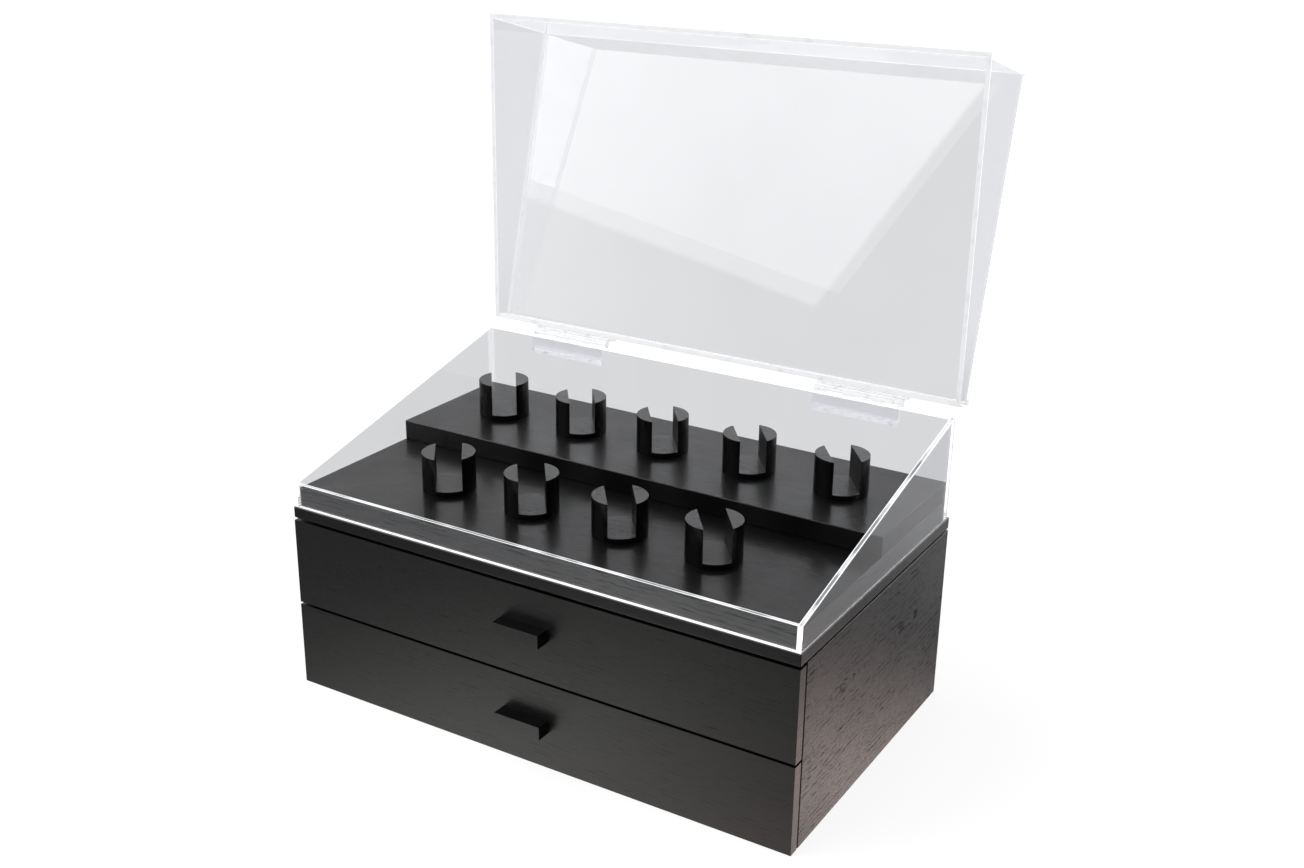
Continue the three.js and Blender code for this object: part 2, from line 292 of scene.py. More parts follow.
PLAIN_FIGURE = Figure(arch=0.2, pore_length=0.02)


@dataclass(frozen=True)
class OpenGrain:
    """The grain of sawn open-grain wood.

    The growth rings are cylinders round a heart that the board's length crosses at a slope, and the
    pores are dashes that follow the rings' lines. Spots are sizes along, across and into the board.
    """

    drift_spot: Triple = (0.20, 0.06, 0.06)
    patch_spot: Triple = (0.09, 0.022, 0.05)
    tone_spot: Triple = (0.30, 0.03, 0.03)
    pore_reach: float = 0.04
    fleck_length: float = 0.6
    fleck_width: float = 0.45
    fleck_weight: float = 0.50
    early_wood: Span = (0.15, 0.75)
    open_patch: Span = (0.36, 0.52)
    closed_share: float = 0.20
    dash_noise: Span = (0.52, 0.64)
    fleck_noise: Span = (0.50, 0.66)
    noise_roughness: float = 0.55

    def build(self) -> None:
        """Makes the shader node group. In its Vector the grain runs along X, the face across Z."""
        inputs = {"Vector": ORIGIN, **PLAIN_FIGURE.inputs()}
        bench = GroupBench("open_grain", "ShaderNodeTree", inputs, "Pores", "Tone")
        given = bench.given
        along, across, deep = bench.apart(given["Vector"])
        deep = abs(deep) - given["Face Depth"]

        def noise(place: Sequence[Term], spot: Sequence[Any], detail: float) -> Term:
            """Adds noise whose spots have their own length along each of three numbers."""
            vector = bench.point(*(part / size for part, size in zip(place, spot)))
            return bench.noise(vector, 1.0, detail, self.noise_roughness)

        place = (along, across, deep)
        drift = noise(place, self.drift_spot, 2.0) - 0.5
        bent = drift * given["Warp"] + (across - given["Heart Across"])
        slope = along * given["Arch"] + (deep + given["Heart Depth"])
        radius = bench.math("SQRT", bent * bent + slope * slope)
        early = bench.math("PINGPONG", radius / given["Ring Width"] * 2.0, 1.0)

        ringed = (along, radius, across)
        long, wide = given["Pore Length"], given["Pore Width"]
        coarse = noise(ringed, (long, wide, self.pore_reach), 1.0)
        fleck_spot = (long * self.fleck_length, wide * self.fleck_width, self.pore_reach)
        fine = noise(ringed, fleck_spot, 1.0)
        patch = noise(place, self.patch_spot, 1.0)
        band = bench.span(early, *self.early_wood, 0.0, 1.0)
        open_place = bench.span(patch, *self.open_patch, self.closed_share, 1.0)
        dash = bench.span(coarse, *self.dash_noise, 0.0, 1.0) * (band * open_place)
        fleck = bench.span(fine, *self.fleck_noise, 0.0, 1.0) * self.fleck_weight
        pores, tone = bench.math("MAXIMUM", dash, fleck), noise(place, self.tone_spot, 3.0)
        bench.put("NodeGroupOutput", {"Pores": pores, "Tone": tone})


@dataclass(frozen=True)
class SurfaceFilm:
    """The soft patches and specks that handling and dusting leave on a surface."""

    patch_size: float = 0.08
    speck_size: float = 0.0015
    patch_noise: Span = (0.35, 0.7)
    speck_noise: Span = (0.70, 0.80)

    def build(self) -> None:
        """Makes the shader node group."""
        inputs = {"Vector": ORIGIN, "Patch Size": self.patch_size, "Speck Size": self.speck_size}
        bench = GroupBench("surface_film", "ShaderNodeTree", inputs, "Patches", "Specks")
        found = {}
        for name, size, detail, noise in (
            ("Patches", "Patch Size", 4.0, self.patch_noise),
            ("Specks", "Speck Size", 1.0, self.speck_noise),
        ):
            spots = bench.noise(bench.given["Vector"], 1.0 / bench.given[size], detail)
            found[name] = bench.span(spots, *noise, 0.0, 1.0)
        bench.put("NodeGroupOutput", found)


class FinishBench(Bench):
    """A bench on a new material, whose pattern lies in Object coordinates."""

    def __init__(self, name: str, turn: Triple = ORIGIN) -> None:
        """Makes the material.

        Args:
            name: Its name.
            turn: How its pattern lies, as a turn about X, Y and Z.
        """
        self.made = bpy.data.materials.new(name)
        self.made.use_nodes = True
        self.made.node_tree.nodes.clear()
        super().__init__(self.made.node_tree)
        source = self.one("ShaderNodeTexCoord", output="Object")
        self.place = self.one("ShaderNodeMapping", {"Vector": source, "Rotation": turn})

    def use(self, group: str, **values: Any) -> dict[str, Term]:
        """Adds a shared group at the pattern's place and gives its outputs."""
        tree, inputs = bpy.data.node_groups[group], {"Vector": self.place, **values}
        return self.outputs(self.put("ShaderNodeGroup", inputs, node_tree=tree))

    def bump(self, height: Any, depth: float, invert: bool = False) -> Term:
        """Adds a bump and gives its normal."""
        return self.one("ShaderNodeBump", {"Height": height, "Distance": depth}, invert=invert)

    def principled(self, values: Mapping[str, Any]) -> Term:
        """Adds the Principled shader."""
        return self.one("ShaderNodeBsdfPrincipled", values)

    def close(self, shader: Term) -> Material:
        """Puts a shader on the surface and gives the material."""
        self.put("ShaderNodeOutputMaterial", {0: shader})
        return self.made


def shade(colour: Colour, factor: float) -> Colour:
    """Makes a colour lighter or darker."""
    return tuple(factor * part for part in colour)


@dataclass(frozen=True)
class StainedWood:
    """Black-stained open-grain wood under a satin lacquer."""

    figure: Figure = Figure()
    stain: Colour = (0.0014, 0.0014, 0.0015)
    stain_change: float = 1.5
    pore: Colour = (0.0006, 0.0006, 0.0006)
    pore_depth: float = 0.00010
    pore_loss: float = 0.30
    pore_roughness: float = 0.12
    sheen: Span = (0.32, 0.40)
    lacquer: float = 0.80
    lacquer_roughness: float = 0.26
    wood_ior: float = 1.30

    def material(self, name: str, grain: Grain) -> Material:
        """Makes the finish for one direction of grain.

        Args:
            name: The material's name.
            grain: The grain's direction.

        Returns:
            The material.
        """
        bench = FinishBench(name, grain.value)
        wood = bench.use("open_grain", **self.figure.inputs())
        patches, pores = bench.use("surface_film")["Patches"], wood["Pores"]
        toned = bench.blend(wood["Tone"], self.stain, shade(self.stain, self.stain_change))
        sheen = patches * (self.sheen[1] - self.sheen[0]) + self.sheen[0]
        values = {
            "Base Color": bench.blend(pores, toned, self.pore),
            "Roughness": pores * self.pore_roughness + sheen,
            "IOR": self.wood_ior,
            "Coat Weight": pores * -self.pore_loss + self.lacquer,
            "Coat Roughness": self.lacquer_roughness,
            "Normal": bench.bump(1.0 - pores, self.pore_depth),
        }
        return bench.close(bench.principled(values))


@dataclass(frozen=True)
class BlackPaint:
    """Matt black paint on the parts inside the cabinet."""

    colour: Colour = (0.014, 0.014, 0.015)
    change: float = 1.7
    roughness: float = 0.52
    roughness_change: float = 0.15
    ripple: float = 0.00006
    ior: float = 1.45

    def material(self, name: str, grain: Grain) -> Material:
        """Makes the finish for one direction of the grain under the paint.

        Args:
            name: The material's name.
            grain: The grain's direction.

        Returns:
            The material.
        """
        bench = FinishBench(name, grain.value)
        wood, patches = bench.use("open_grain"), bench.use("surface_film")["Patches"]
        values = {
            "Base Color": bench.blend(patches, self.colour, shade(self.colour, self.change)),
            "Roughness": wood["Tone"] * self.roughness_change + self.roughness,
            "Normal": bench.bump(wood["Pores"], self.ripple, invert=True),
            "IOR": self.ior,
        }
        return bench.close(bench.principled(values))


@dataclass(frozen=True)
class ClearSheet:
    """The polished faces of the clear sheet.

    Light that is caught inside the sheet is added as a glow, and the sheet casts no shadow.
    """

    tint: Colour = (0.958, 0.964, 0.990)
    haze: float = 0.985
    wave_size: float = 0.09
    wave_height: float = 0.00002
    piped: Colour = (0.93, 0.94, 0.96)
    piped_light: float = 0.8
    free_mirrorings: float = 2.0

    def material(self, name: str) -> Material:
        """Makes the finish.

        Args:
            name: The material's name.

        Returns:
            The material.
        """
        bench = FinishBench(name)
        patches = bench.use("surface_film")["Patches"]
        wave = bench.noise(bench.place, 1.0 / self.wave_size, 0.0)
        path = bench.outputs(bench.put("ShaderNodeLightPath"))
        trapped = bench.math("SUBTRACT", path["Glossy Depth"], self.free_mirrorings, clamp=True)
        inside = trapped * bench.one("ShaderNodeNewGeometry", output="Backfacing")
        values = {
            "Base Color": bench.blend(patches, self.tint, shade(self.tint, self.haze)),
            "Roughness": 0.0,
            "IOR": SHEET_IOR,
            "Transmission Weight": 1.0,
            "Normal": bench.bump(wave, self.wave_height),
            "Emission Color": self.piped,
            "Emission Strength": inside * self.piped_light,
        }
        soft = bench.math("MAXIMUM", path["Is Shadow Ray"], path["Is Diffuse Ray"])
        clear = bench.one("ShaderNodeBsdfTransparent")
        return bench.close(bench.mix_shader(soft, bench.principled(values), clear))


@dataclass(frozen=True)
class GlowingEdge:
    """The sheet's edges, with a painted glow: emission stands in for the light that the sheet
    gathers.
    """

    bright: Colour = (0.94, 0.95, 0.96)
    dim: Colour = (0.80, 0.82, 0.84)
    body: float = 0.35
    glow: float = 0.92
    roughness: float = 0.22
    roughness_change: float = 0.15
    streaks: float = 70.0
    streak_noise: Span = (0.5, 0.75)

    def material(self, name: str) -> Material:
        """Makes the finish.

        Args:
            name: The material's name.

        Returns:
            The material.
        """
        bench = FinishBench(name)
        streaks = bench.noise(bench.place, self.streaks, 3.0)
        share = bench.span(streaks, *self.streak_noise, 0.0, 1.0)
        colour = bench.blend(share, self.bright, self.dim)
        values = {
            "Base Color": bench.blend(self.body, ORIGIN, colour),
            "Roughness": share * self.roughness_change + self.roughness,
            "IOR": SHEET_IOR,
            "Emission Color": colour,
            "Emission Strength": self.glow,
        }
        return bench.close(bench.principled(values))


@dataclass(frozen=True)
class ZincSteel:
    """Zinc-plated steel of the screws."""

    colour: Colour = (0.60, 0.61, 0.62)
    dull: Colour = (0.46, 0.46, 0.45)
    roughness: float = 0.30
    roughness_change: float = 0.2
    patch_size: float = 0.002
    speck_size: float = 0.0003
    speck_depth: float = 0.00002

    def material(self, name: str) -> Material:
        """Makes the finish.

        Args:
            name: The material's name.

        Returns:
            The material.
        """
        bench = FinishBench(name)
        sizes = {"Patch Size": self.patch_size, "Speck Size": self.speck_size}
        film = bench.use("surface_film", **sizes)
        values = {
            "Base Color": bench.blend(film["Patches"], self.colour, self.dull),
            "Metallic": 1.0,
            "Roughness": film["Patches"] * self.roughness_change + self.roughness,
            "Normal": bench.bump(film["Specks"], self.speck_depth),
        }
        return bench.close(bench.principled(values))


WOODS = {
    Grain.FLAT: StainedWood(
        Figure(0.35, face_depth=0.21), pore_loss=0.16, lacquer_roughness=0.20
    ),
    Grain.UPRIGHT: StainedWood(
        Figure(-0.30, face_depth=0.178), pore_loss=0.26, lacquer_roughness=0.30
    ),
    Grain.SIDE: StainedWood(
        Figure(
            heart_across=0.13,
            heart_depth=0.011,
            face_depth=0.30,
            arch=0.04,
            warp=0.022,
            ring_width=0.006,
            pore_length=0.014,
            pore_width=0.0007,
        ),
        pore_loss=0.80,
        pore_roughness=0.25,
        pore_depth=0.00016,
    ),
    Grain.POST: StainedWood(
        Figure(0.20), pore_loss=0.24, lacquer=0.6, lacquer_roughness=0.18, wood_ior=1.12
    ),
}
CUT_EDGE = StainedWood(
    Figure(-0.30, face_depth=0.17),
    stain=(0.060, 0.060, 0.060),
    pore_loss=0.20,
    lacquer_roughness=0.30,
)
# The stands' ends: end grain, stained far lighter than the sides, partly as a painted highlight for
# the sky mirrored in their tops.
HIGHLIT_END_GRAIN = StainedWood(
    Figure(pore_length=0.0016, pore_width=0.0011, ring_width=0.003),
    stain=(0.026, 0.026, 0.027),
    pore=(0.004, 0.004, 0.004),
    pore_loss=0.45,
    lacquer_roughness=0.20,
)
# Painted glow on the sheet's edges: each finish lights its faces by emission, brighter and dimmer
# in streaks.
EDGES = {
    "clear_sheet_edge": GlowingEdge(),
    "clear_sheet_edge_core": GlowingEdge(
        dim=(0.30, 0.31, 0.32), body=0.25, glow=0.66, streaks=20.0, streak_noise=(0.42, 0.60)
    ),
    "clear_lid_edge": GlowingEdge(body=0.25, glow=0.64),
    "clear_hinge_edge": GlowingEdge(dim=(0.62, 0.64, 0.66), body=0.25, glow=0.66, streaks=160.0),
}


@dataclass
class Finishes:
    """All materials of the case, made once."""

    boards: dict[tuple[Slot, Grain], Material] = field(default_factory=dict)

    def __post_init__(self) -> None:
        """Makes the shared groups and the materials."""
        OpenGrain().build()
        SurfaceFilm().build()
        for grain, finish in WOODS.items():
            lay = grain.name.lower()
            self.boards[Slot.BLACK_WOOD, grain] = finish.material(f"wood_{lay}", grain)
            self.boards[Slot.BLACK_PAINT, grain] = BlackPaint().material(f"paint_{lay}", grain)
        self.sheet = ClearSheet().material("clear_sheet_face")
        edges = (finish.material(name) for name, finish in EDGES.items())
        self.edge, self.edge_core, self.lid_edge, self.hinge_edge = edges
        self.cut_edge = CUT_EDGE.material("wood_cut_edge", Grain.UPRIGHT)
        self.end_grain = HIGHLIT_END_GRAIN.material("wood_end_grain", Grain.FLAT)
        self.steel = ZincSteel().material("screw_steel")


def new_object(name: str, data: bpy.types.ID) -> Piece:
    """Puts a mesh, a lamp or a camera into the scene.

    Args:
        name: The object's name.
        data: What it shows.

    Returns:
        The object, at the origin.
    """
    piece = bpy.data.objects.new(name, data)
    bpy.context.scene.collection.objects.link(piece)
    return piece


def bake_modifiers(piece: Piece) -> Piece:
    """Turns what a piece's modifiers make into its own mesh.

    Args:
        piece: The piece.

    Returns:
        The same piece, without modifiers.
    """
    depsgraph = bpy.context.evaluated_depsgraph_get()
    mesh = bpy.data.meshes.new_from_object(
        piece.evaluated_get(depsgraph), preserve_all_data_layers=True, depsgraph=depsgraph
    )
    piece.modifiers.clear()
    piece.data = mesh
    mesh.name = piece.name
    return piece


def round_arrises(piece: Piece, radius: float, steps: int = 3) -> Piece:
    """Rounds a piece's sharp edges.

    Args:
        piece: The piece.
        radius: The width of the rounding.
        steps: The number of faces across the rounding.

    Returns:
        The same piece.
    """
    piece.data.shade_smooth()
    bevel = piece.modifiers.new("arris", "BEVEL")
    bevel.width, bevel.segments = radius, steps
    bevel.limit_method, bevel.angle_limit = "ANGLE", ARRIS_ANGLE
    bevel.use_clamp_overlap = True
    piece.modifiers.new("level", "WEIGHTED_NORMAL").weight = 100
    return bake_modifiers(piece)


def crease(piece: Piece) -> None:
    """Shades a piece smooth, apart from its sharp edges."""
    piece.data.shade_smooth()
    piece.data.set_sharp_from_angle(angle=SMOOTH_ANGLE)


def keep_mesh(shape: bmesh.types.BMesh, name: str) -> Mesh:
    """Keeps a shape as a mesh.

    Args:
        shape: The shape, which is freed.
        name: The mesh's name.

    Returns:
        The mesh.
    """
    mesh = bpy.data.meshes.new(name)
    shape.to_mesh(mesh)
    shape.free()
    return mesh


def clean_copy(node: str, name: str) -> Piece:
    """Copies a CAD node as a closed mesh without loose corners or needless edges.

    Args:
        node: The CAD node.
        name: The new piece's name.

    Returns:
        The new piece.
    """
    shape = bmesh.new()
    shape.from_mesh(frame["nodes"][node].data)
    bmesh.ops.remove_doubles(shape, verts=shape.verts, dist=MERGE_DISTANCE)
    bmesh.ops.dissolve_limit(shape, angle_limit=FLAT_ANGLE, verts=shape.verts, edges=shape.edges)
    mesh = keep_mesh(shape, name)
    mesh.materials.clear()
    return new_object(name, mesh)


def block_mesh(name: str, low: Sequence[float], high: Sequence[float]) -> Mesh:
    """Makes a block.

    Args:
        name: The mesh's name.
        low: Its lowest corner.
        high: Its highest corner.

    Returns:
        The mesh.
    """
    low, high = Vector(low), Vector(high)
    shape = bmesh.new()
    bmesh.ops.create_cube(shape, size=1.0)
    place = Matrix.Translation((low + high) / 2) @ Matrix.Diagonal((*(high - low), 1.0))
    bmesh.ops.transform(shape, matrix=place, verts=shape.verts)
    return keep_mesh(shape, name)


def prism_mesh(name: str, reach: Span, lows: Span, tops: Span, width: Span) -> Mesh:
    """Makes a four-sided prism along X with upright ends in Y.

    Args:
        name: The mesh's name.
        reach: Where it starts and ends in Y.
        lows: The heights of its underside there.
        tops: The heights of its top there.
        width: Where it starts and ends in X.

    Returns:
        The mesh.
    """
    outline = (*zip(reach, lows), *zip(reach[::-1], tops[::-1]))
    shape = bmesh.new()
    ends = [[shape.verts.new((x, y, z)) for y, z in outline] for x in width]
    shape.faces.new(ends[0])
    shape.faces.new(ends[1][::-1])
    for index, after in ((0, 1), (1, 2), (2, 3), (3, 0)):
        shape.faces.new((ends[0][index], ends[1][index], ends[1][after], ends[0][after]))
    bmesh.ops.recalc_face_normals(shape, faces=shape.faces)
    return keep_mesh(shape, name)


def hand_over(piece: Piece, body: Body, slot: Slot, nodes: Iterable[str]) -> Piece:
    """Gives a finished piece to its body and logs it.

    Args:
        piece: The piece.
        body: The CAD body that it rides on.
        slot: The record's slot of its finish; not used.
        nodes: The CAD nodes that it stands for.

    Returns:
        The same piece.
    """
    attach(piece, body.value)
    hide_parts(*nodes)
    LOG.info("%s: %d faces on %s", piece.name, len(piece.data.polygons), body.value)
    return piece


class ShapeBench(GroupBench):
    """A geometry node tree that is run once, and whose result is kept as a plain mesh."""

    def __init__(self, name: str, values: Mapping[str, Any]) -> None:
        """Makes the tree.

        Args:
            name: The tree's name.
            values: Its inputs, by name.
        """
        super().__init__(name, "GeometryNodeTree", values, "Geometry")
        self.values = values

    def rod(self, radius: Any, depth: Any, sides: int) -> Term:
        """Adds a rod along Z."""
        values = {"Vertices": sides, "Radius": radius, "Depth": depth}
        return self.one("GeometryNodeMeshCylinder", values, fill_type="NGON")

    def cone(self, top: Any, bottom: Any, depth: Any, sides: int, **counts: int) -> Term:
        """Adds a cone along Z, from its bottom up."""
        values = {"Vertices": sides, "Radius Top": top, "Radius Bottom": bottom, "Depth": depth}
        return self.one("GeometryNodeMeshCone", values | counts, fill_type="NGON")

    def cube(self, size: Any, **counts: int) -> Term:
        """Adds a block round the origin."""
        return self.one("GeometryNodeMeshCube", {"Size": size, **counts})

    def pose(self, shape: Any, shift: Any = None, turn: Any = None) -> Term:
        """Moves and turns a shape."""
        values = {"Geometry": shape, "Translation": shift, "Rotation": turn}
        return self.one("GeometryNodeTransform", values)

    def join(self, *shapes: Term) -> Term:
        """Joins shapes without welding them."""
        return self.one("GeometryNodeJoinGeometry", {0: list(shapes)})

    def weld(self, *shapes: Term) -> Term:
        """Welds shapes into one."""
        values = {1: list(shapes), "Self Intersection": True}
        return self.one("GeometryNodeMeshBoolean", values, operation="UNION", solver="EXACT")

    def cut(self, shape: Term, cutter: Term) -> Term:
        """Cuts one shape out of another."""
        values = {0: shape, 1: cutter}
        return self.one("GeometryNodeMeshBoolean", values, operation="DIFFERENCE", solver="EXACT")

    def row(self, shape: Term, count: Any, start: Term, step: Any, turn: Any = None) -> Term:
        """Repeats a shape along X.

        Args:
            shape: What is repeated.
            count: How often.
            start: The first one's place.
            step: The distance from one to the next.
            turn: The turn of each.

        Returns:
            The copies, as instances.
        """
        values = {"Count": count, "Start Location": start, "Offset": self.point(step)}
        line = self.one("GeometryNodeMeshLine", values, mode="OFFSET")
        values = {"Points": line, "Instance": shape, "Rotation": turn}
        return self.one("GeometryNodeInstanceOnPoints", values)

    def real(self, shape: Term) -> Term:
        """Turns instances into mesh."""
        return self.one("GeometryNodeRealizeInstances", {0: shape})

    def facing(self) -> list[Term]:
        """Adds the surface's normal, taken apart."""
        return self.apart(self.one("GeometryNodeInputNormal"))

    def run(
        self, name: str, shape: Term, material: Term, mask: Any = None, other: Any = None
    ) -> Piece:
        """Ends the tree in Realize Instances and Set Material, and runs it.

        Args:
            name: The new piece's name.
            shape: What the tree has made.
            material: Its material.
            mask: Where the second material goes.
            other: The second material.

        Returns:
            The new piece.
        """
        values = {"Geometry": self.real(shape), "Material": material}
        dressed = self.one("GeometryNodeSetMaterial", values)
        if mask is not None:
            values = {"Geometry": dressed, "Selection": mask, "Material": other}
            dressed = self.one("GeometryNodeSetMaterial", values)
        self.put("NodeGroupOutput", {0: dressed})
        piece = new_object(name, bpy.data.meshes.new(name))
        modifier = piece.modifiers.new(name, "NODES")
        modifier.node_group = self.tree
        for item in self.tree.interface.items_tree:
            if item.in_out == "INPUT":
                modifier[item.identifier] = self.values[item.name]
        return bake_modifiers(piece)


@dataclass
class Assembly:
    """A part of the case that is made with the case's finishes."""

    finishes: Finishes

    def sizes(self, *names: str) -> dict[str, Any]:
        """Gives some of the fields under their sockets' names."""
        return {name.replace("_", " ").title(): getattr(self, name) for name in names}

    def board(
        self,
        node: str,
        grain: Grain,
        arris: float,
        slot: Slot = Slot.BLACK_WOOD,
        body: Body = Body.CABINET,
    ) -> Piece:
        """Makes a board that keeps its CAD node's shape, with rounded arrises.

        Args:
            node: The CAD node.
            grain: The grain's direction.
            arris: The rounding of its edges.
            slot: The record's slot of its finish.
            body: Its body.

        Returns:
            The piece.
        """
        piece = clean_copy(node, f"{node}_board")
        piece.data.materials.append(self.finishes.boards[slot, grain])
        return hand_over(round_arrises(piece, arris), body, slot, [node])


@dataclass
class Cabinet(Assembly):
    """The cabinet: its carcass boards, the drawer runners and the top plate."""

    board_arris: float = 0.0008
    plate_arris: float = 0.0010
    runner_arris: float = 0.0004

    def build(self) -> None:
        """Makes the cabinet's boards."""
        self.board("top_plate", Grain.FLAT, self.plate_arris)
        for side in ("left", "right"):
            self.board(f"carcass_{side}_side", Grain.SIDE, self.board_arris)
        for place, grain in (("bottom", Grain.FLAT), ("back", Grain.UPRIGHT), ("top", Grain.FLAT)):
            self.board(f"carcass_{place}", grain, self.board_arris)
        for level in ("lower", "upper"):
            for side in ("left", "right"):
                runner = f"{level}_runner_{side}"
                self.board(runner, Grain.SIDE, self.runner_arris, Slot.BLACK_PAINT)


@dataclass
class Stands(Assembly):
    """The nine turned stands, each with a slot across it, in a front and a back row."""

    slot_width: float = 0.028
    slot_floor: float = 0.006
    slot_turn: float = math.radians(37.0)
    front_count: int = 4
    back_count: int = 5
    sides: int = 128
    arris: float = 0.0007

    def build(self) -> None:
        """Makes all stands as one piece."""
        first, first_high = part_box("stand_front_1")
        second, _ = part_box("stand_front_2")
        back, back_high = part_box("stand_back_1")
        names = ("slot_width", "slot_floor", "slot_turn", "front_count", "back_count")
        values = self.sizes(*names) | {
            "Radius": (first_high.x - first.x) / 2,
            "Height": first_high.z - first.z,
            "Pitch": second.x - first.x,
            "Front Y": (first.y + first_high.y) / 2,
            "Front Base": first.z,
            "Back Y": (back.y + back_high.y) / 2,
            "Back Base": back.z,
            "Side": self.finishes.boards[Slot.BLACK_WOOD, Grain.POST],
            "End": self.finishes.end_grain,
        }
        piece = round_arrises(self.rows(ShapeBench("slotted_stands", values)), self.arris)
        nodes = [f"stand_front_{i + 1}" for i in range(self.front_count)]
        nodes += [f"stand_back_{i + 1}" for i in range(self.back_count)]
        hand_over(piece, Body.CABINET, Slot.BLACK_WOOD, nodes)

    def rows(self, bench: ShapeBench) -> Piece:
        """Builds and runs the tree that cuts one stand and repeats it in two rows.

        Args:
            bench: The empty tree's bench.

        Returns:
            The rows, without rounding.
        """
        given = bench.given
        radius, height, pitch = given["Radius"], given["Height"], given["Pitch"]
        post = bench.pose(bench.rod(radius, height, self.sides), bench.point(z=height * 0.5))
        size = bench.point(given["Slot Width"], radius * 4.0, height * 2.0)
        slot = bench.pose(bench.cube(size), bench.point(z=height + given["Slot Floor"]))
        stand = bench.cut(post, slot)
        rows = []
        for row in ("Front", "Back"):
            count = given[f"{row} Count"]
            left = (count - 1.0) * -0.5 * pitch
            start = bench.point(left, given[f"{row} Y"], given[f"{row} Base"])
            rows.append(bench.row(stand, count, start, pitch, bench.point(z=given["Slot Turn"])))
        # The ends take the lighter end-grain stain, which partly paints the highlight on the tops.
        ends = abs(bench.facing()[2]) > SQUARE_ON
        return bench.run("slotted_stands", bench.join(*rows), given["Side"], ends, given["End"])


@dataclass
class Display(Assembly):
    """The display floor, whose cut edges show lighter, the riser on it and the stands."""

    board_arris: float = 0.0008

    def build(self) -> None:
        """Makes the display's boards and stands."""
        floor = self.board("display_floor", Grain.FLAT, self.board_arris).data
        floor.materials.append(self.finishes.cut_edge)
        for polygon in floor.polygons:
            if polygon.normal.y < -SQUARE_ON or abs(polygon.normal.x) > SQUARE_ON:
                polygon.material_index = 1
        self.board("display_riser", Grain.FLAT, self.board_arris)
        Stands(self.finishes).build()


@dataclass
class Drawer(Assembly):
    """A drawer: the overlay front, its block pull with two screws, and the box behind it."""

    level: str
    body: Body
    front_arris: float = 0.0010
    pull_arris: float = 0.0006
    box_arris: float = 0.0004
    head_radius: float = 0.004
    head_height: float = 0.0024
    head_taper: float = 0.72
    shank_radius: float = 0.0018
    point_length: float = 0.0025
    tip_radius: float = 0.0002
    recess_width: float = 0.0009
    recess_length: float = 0.0046
    recess_depth: float = 0.0012
    screw_sides: int = 32

    def build(self) -> None:
        """Makes the drawer's boards and screws."""
        name, painted = f"{self.level}_drawer", (self.box_arris, Slot.BLACK_PAINT, self.body)
        self.board(f"{name}_front", Grain.UPRIGHT, self.front_arris, body=self.body)
        self.board(f"{name}_pull", Grain.UPRIGHT, self.pull_arris, body=self.body)
        for place in ("box_front", "back"):
            self.board(f"{name}_{place}", Grain.UPRIGHT, *painted)
        self.board(f"{name}_bottom", Grain.FLAT, *painted)
        for side in ("left", "right"):
            self.board(f"{name}_{side}_side", Grain.SIDE, *painted)
        self.screws()

    def screws(self) -> None:
        """Makes the pair of screws behind the pull."""
        left, left_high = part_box(f"{self.level}_pull_screw_left")
        right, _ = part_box(f"{self.level}_pull_screw_right")
        head_y = left_high.y - self.head_height
        values = self.sizes("head_radius", "head_height", "shank_radius", "point_length") | {
            "Length": head_y - left.y,
            "Spacing": right.x - left.x,
            "Head Y": head_y,
            "Centre Z": (left.z + left_high.z) / 2,
            "Material": self.finishes.steel,
        }
        piece = self.screw_pair(ShapeBench("pull_screws", values))
        crease(piece)
        nodes = [f"{self.level}_pull_screw_{side}" for side in ("left", "right")]
        hand_over(piece, self.body, Slot.ZINC_STEEL, nodes)

    def screw_pair(self, bench: ShapeBench) -> Piece:
        """Builds and runs the tree that makes one screw and places two, which point along -Y.

        Args:
            bench: The empty tree's bench.

        Returns:
            The screws.
        """
        given = bench.given
        height, thin, length = given["Head Height"], given["Shank Radius"], given["Length"]
        counts = {"Side Segments": 3, "Fill Segments": 1}
        wide = given["Head Radius"]
        head = bench.cone(wide * self.head_taper, wide, height, self.screw_sides, **counts)
        long, narrow, deep = self.recess_length, self.recess_width, 2 * self.recess_depth
        cross = bench.join(bench.cube((narrow, long, deep)), bench.cube((long, narrow, deep)))
        head = bench.cut(head, bench.pose(cross, bench.point(z=height)))
        straight, sides = length - given["Point Length"], self.screw_sides // 2
        shank = bench.pose(bench.rod(thin, straight, sides), bench.point(z=straight * -0.5))
        tip = bench.cone(thin, self.tip_radius, given["Point Length"], sides)
        screw = bench.join(head, shank, bench.pose(tip, bench.point(z=length * -1.0)))
        spacing = given["Spacing"]
        start = bench.point(spacing * -0.5, given["Head Y"], given["Centre Z"])
        pair = bench.row(screw, 2, start, spacing, (-math.pi / 2, 0.0, 0.0))
        return bench.run(f"{self.level}_pull_screws", pair, given["Material"])


